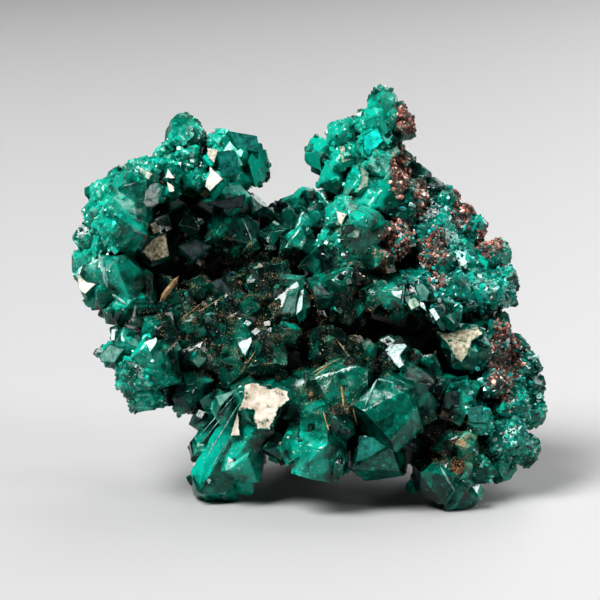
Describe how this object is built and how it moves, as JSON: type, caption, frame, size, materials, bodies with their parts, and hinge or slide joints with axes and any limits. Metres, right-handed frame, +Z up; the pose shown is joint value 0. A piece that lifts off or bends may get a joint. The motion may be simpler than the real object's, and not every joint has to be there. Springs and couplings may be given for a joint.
{
  "type": "dioptase crystal cluster",
  "caption": "Loose mineral specimen: emerald-green dioptase crystals grown together on a hollowed crust, with crumbs of red-brown matrix, standing on natural feet.",
  "frame": {"origin": "centre of the cluster's footprint, at the height of the surface it stands on", "axes": "+Z up, the open hollowed face towards -Y, +X to the right as one looks at that face"},
  "size_m": [0.0508, 0.0352, 0.0419],
  "materials": {
    "dioptase": "vitreous, partly see-through crystals",
    "matrix": "dull granular crumbs"
  },
  "bodies": {
    "root": {"dioptase_cluster": "dioptase"}
  },
  "joints": []
}
